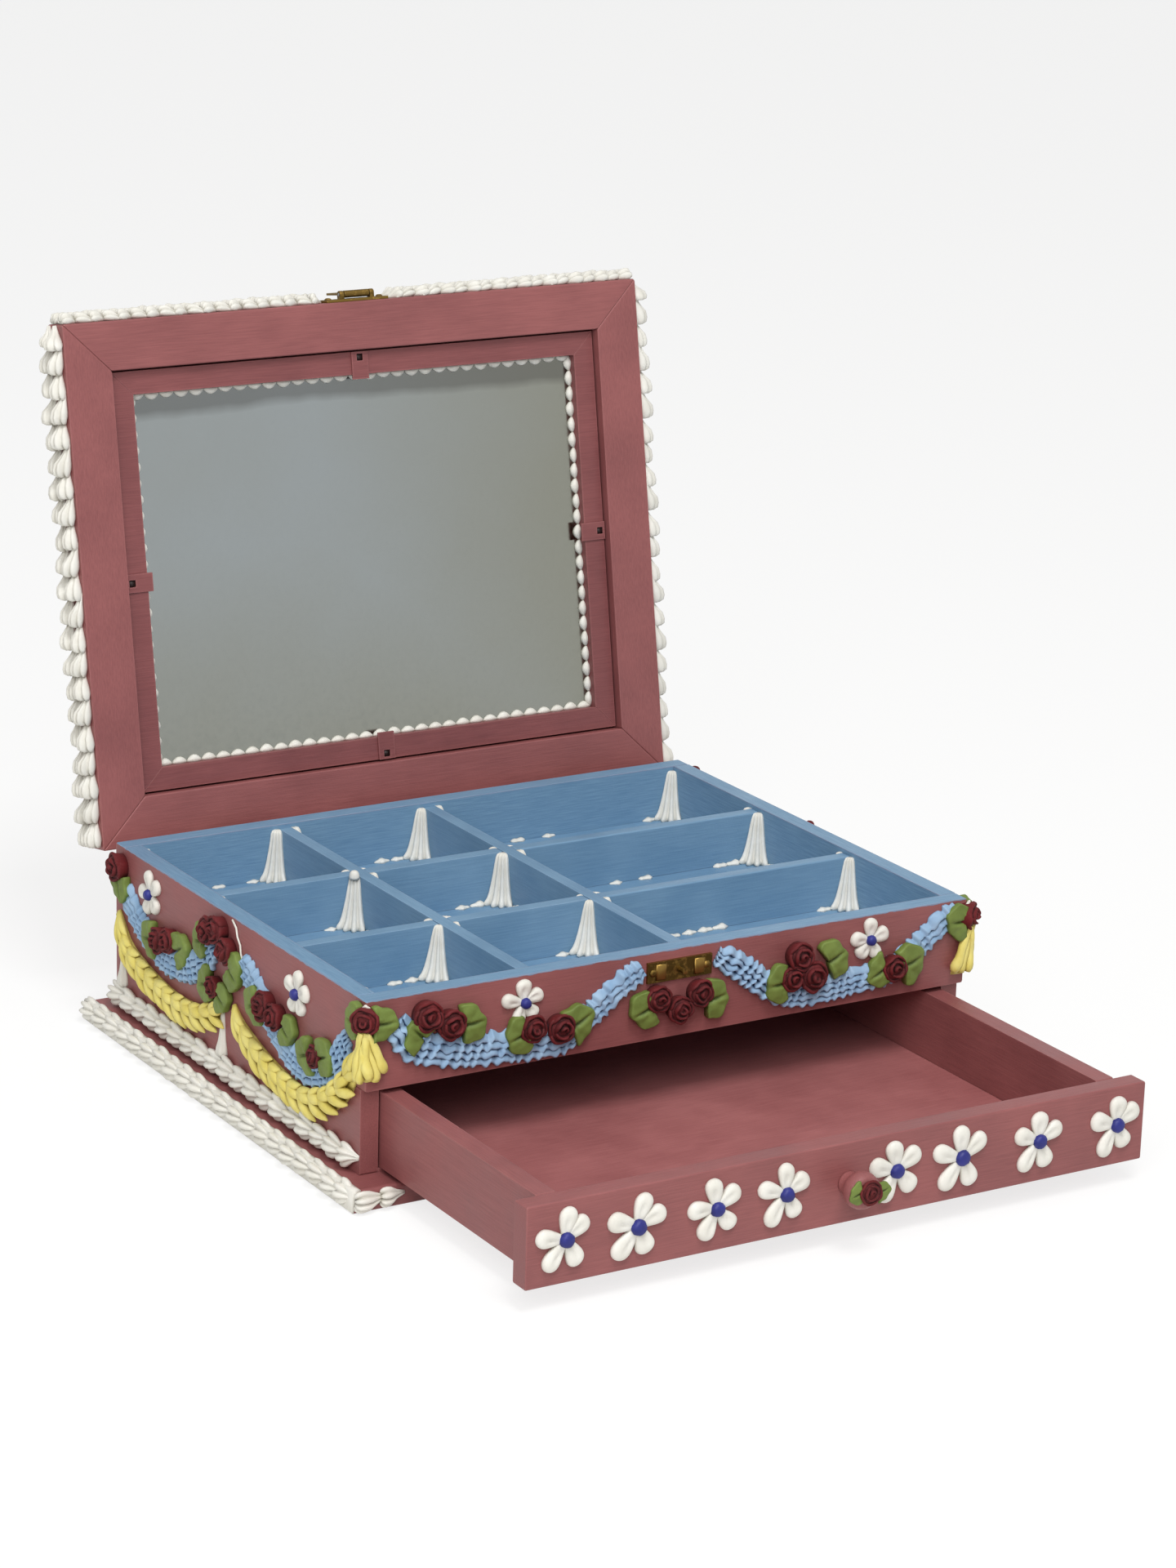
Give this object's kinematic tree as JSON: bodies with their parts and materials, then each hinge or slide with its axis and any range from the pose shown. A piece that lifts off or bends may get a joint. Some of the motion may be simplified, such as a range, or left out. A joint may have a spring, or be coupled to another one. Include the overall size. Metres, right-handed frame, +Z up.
{
  "type": "jewellery box",
  "caption": "Painted wooden jewellery box with a hinged mirror lid, a divided tray, a pull-out drawer and piped shell, swag, rose and daisy ornament.",
  "frame": {"origin": "centre of the base plate's underside", "axes": "+Z up, -Y towards the front and the drawer, +X to the right as seen from the front"},
  "size_m": [0.31, 0.4306, 0.2972],
  "materials": {
    "painted_pink_wood": "satin dusty rose paint",
    "painted_blue_wood": "satin sky blue paint",
    "white_piping": "dried white piping paste",
    "yellow_piping": "dried yellow piping paste",
    "blue_piping": "dried blue piping paste",
    "rose_piping": "dried dark red piping paste",
    "leaf_piping": "dried leaf green piping paste",
    "daisy_eye_piping": "dried deep blue piping paste",
    "aged_brass": "aged",
    "mirror_glass": "silvered",
    "steel": "plain wire"
  },
  "bodies": {
    "case": {"base_plate": "painted_pink_wood", "side_left": "painted_pink_wood", "side_right": "painted_pink_wood", "case_back": "painted_pink_wood", "apron": "painted_pink_wood", "tray_floor": "painted_blue_wood", "divider_row_front": "painted_blue_wood", "divider_row_back": "painted_blue_wood", "divider_column_left": "painted_blue_wood", "divider_column_right": "painted_blue_wood", "drawer_runners": "painted_pink_wood", "hinge_leaves_case": "aged_brass", "hinge_pins": "steel", "hinge_screws_case": "aged_brass", "catch_plate": "aged_brass", "catch_nails": "aged_brass", "roses": "rose_piping", "leaves": "leaf_piping", "daisy_petals": "white_piping", "daisy_eyes": "daisy_eye_piping", "swags_blue": "blue_piping", "swags_yellow": "yellow_piping", "drops_white": "white_piping", "shells_wall": "white_piping", "shells_plate": "white_piping", "tray_columns": "white_piping", "tray_beads": "white_piping"},
    "lid": {"lid_stile_left": "painted_pink_wood", "lid_stile_right": "painted_pink_wood", "lid_rail_front": "painted_pink_wood", "lid_rail_back": "painted_pink_wood", "lid_panel": "painted_pink_wood", "lid_mirror": "mirror_glass", "lid_fillet": "painted_pink_wood", "lid_clips": "painted_pink_wood", "sight_bead": "white_piping", "lid_shells_side": "white_piping", "lid_shells_front": "white_piping", "hinge_leaves_lid": "aged_brass", "hinge_screws_lid": "aged_brass", "clasp_plate": "aged_brass", "clasp_nails": "aged_brass", "clasp_pin": "steel"},
    "drawer": {"drawer_front": "painted_pink_wood", "drawer_side_left": "painted_pink_wood", "drawer_side_right": "painted_pink_wood", "drawer_back": "painted_pink_wood", "drawer_bottom": "painted_pink_wood", "knob": "painted_pink_wood", "knob_screw": "steel", "knob_rose": "rose_piping", "knob_leaves": "leaf_piping", "drawer_daisies": "white_piping", "drawer_daisy_eyes": "daisy_eye_piping"},
    "hasp": {"hasp": "aged_brass"}
  },
  "joints": [
    {"name": "lid_hinge", "type": "hinge", "parent": "case", "child": "lid", "pos_m": [0, 0.1138, 0.0726], "axis": [-1, 0, 0], "range_deg": [-99.9, 0]},
    {"name": "hasp_hinge", "type": "hinge", "parent": "lid", "child": "hasp", "pos_m": [0, 0.16482, 0.29514], "axis": [1, 0, 0], "range_deg": [0, 180]},
    {"name": "drawer_slide", "type": "slide", "parent": "case", "child": "drawer", "axis": [0, -1, 0], "range_m": [-0.1166, 0.045]}
  ]
}
